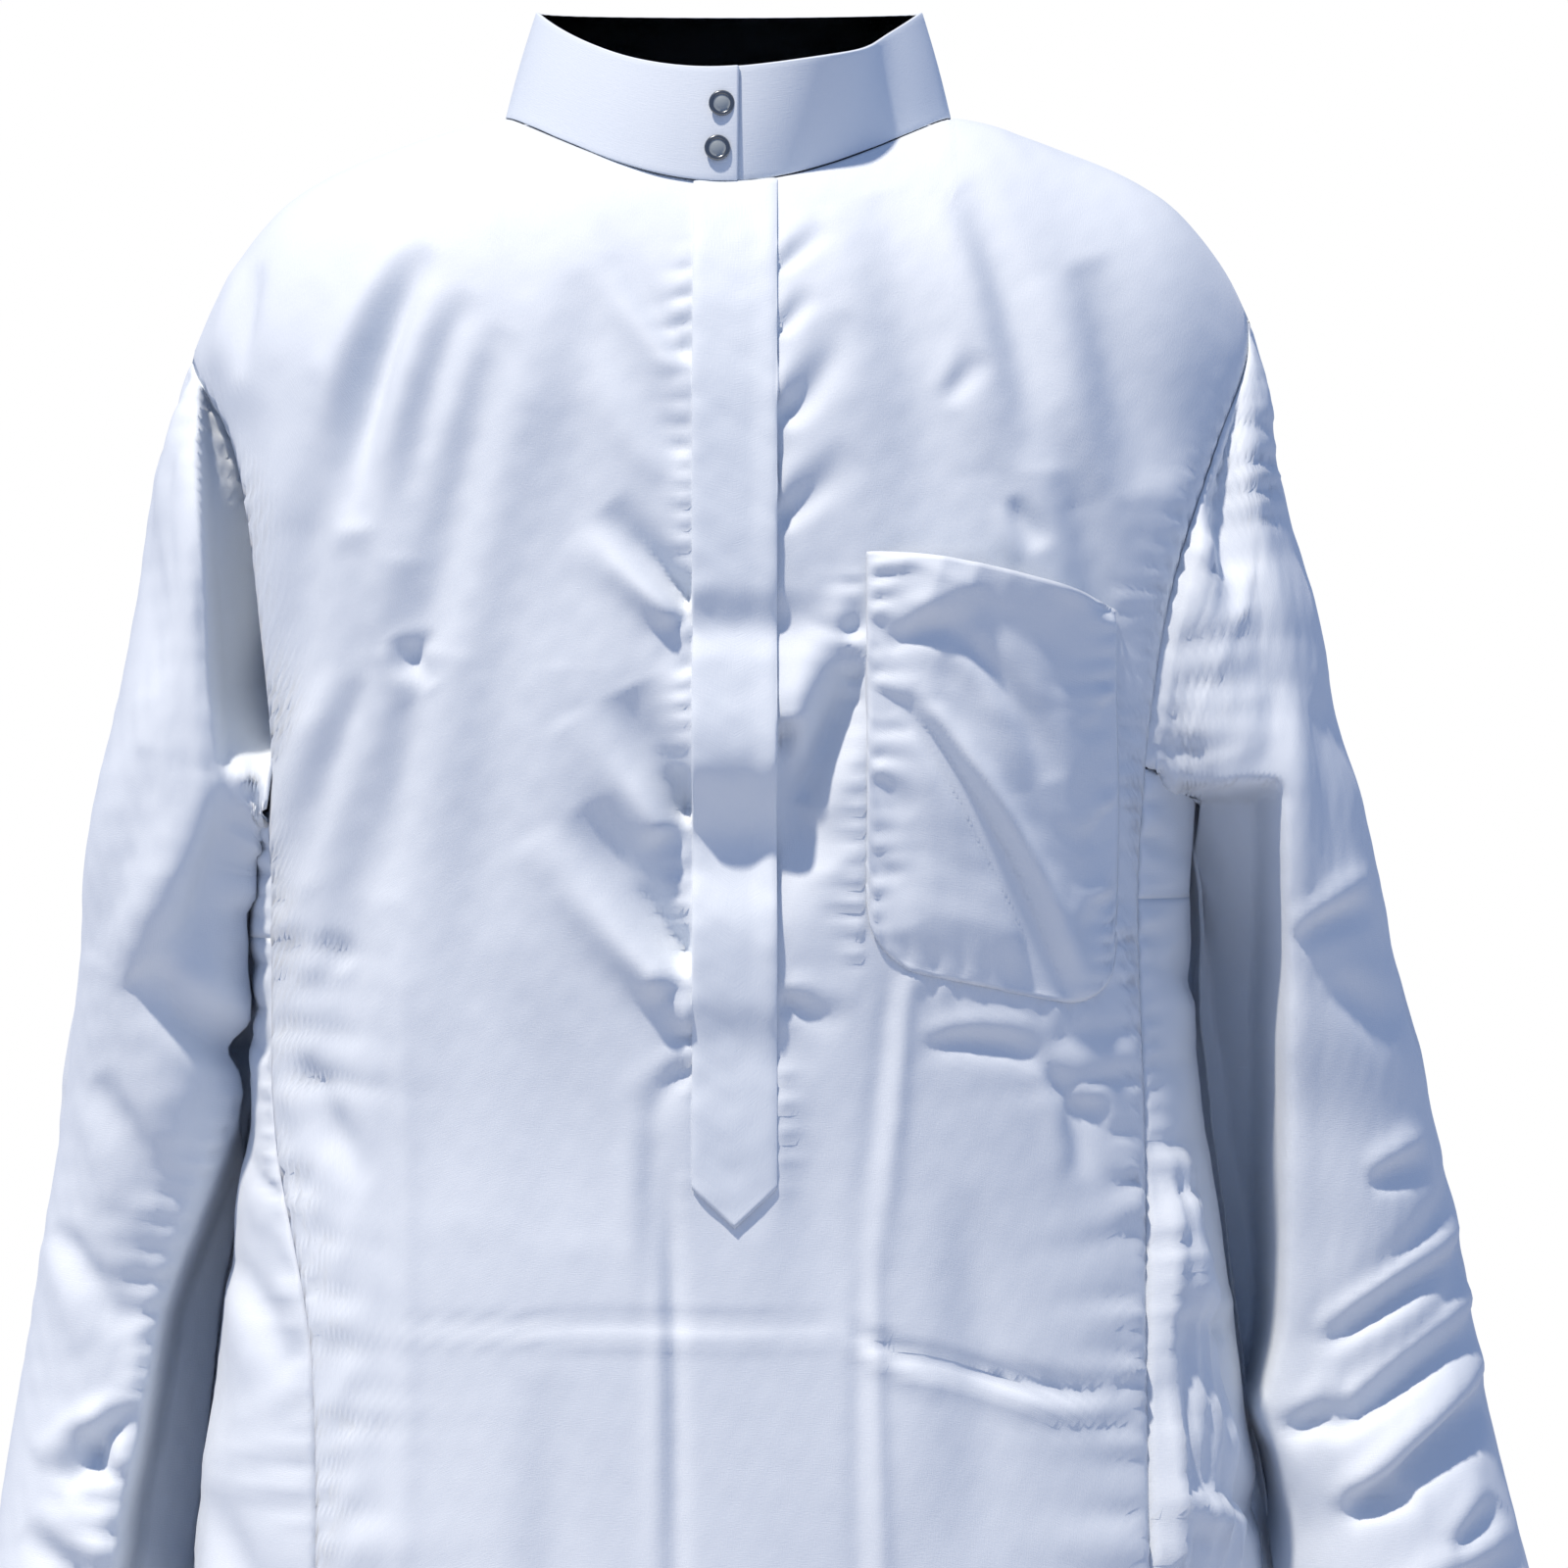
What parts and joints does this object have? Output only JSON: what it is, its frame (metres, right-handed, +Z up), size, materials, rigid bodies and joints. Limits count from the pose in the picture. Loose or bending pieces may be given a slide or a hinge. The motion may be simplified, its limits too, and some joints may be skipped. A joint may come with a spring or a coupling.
{
  "type": "robe",
  "caption": "Man's white ankle-length thobe robe with a stand collar, a pointed concealed placket, full sleeves, side gores and a chest pocket.",
  "frame": {"origin": "midway between the side neck points, at their height, where the robe hangs from the wearer's neck and shoulders", "axes": "+Z up along the robe's length, -Y out of the front, +X to the wearer's left"},
  "size_m": [0.647, 0.3442, 1.4481],
  "materials": {
    "robe_cloth": "satin",
    "band_cloth": "satin",
    "button_shell": "gloss"
  },
  "bodies": {
    "root": {"front_panel": "robe_cloth", "back_panel": "robe_cloth", "side_gore_left": "robe_cloth", "underarm_gusset_left": "robe_cloth", "sleeve_left": "robe_cloth", "side_gore_right": "robe_cloth", "underarm_gusset_right": "robe_cloth", "sleeve_right": "robe_cloth", "collar_band": "band_cloth", "placket_strip": "band_cloth", "placket_underlap": "robe_cloth", "chest_pocket": "robe_cloth", "collar_button_1": "button_shell", "collar_button_2": "button_shell"}
  },
  "joints": []
}
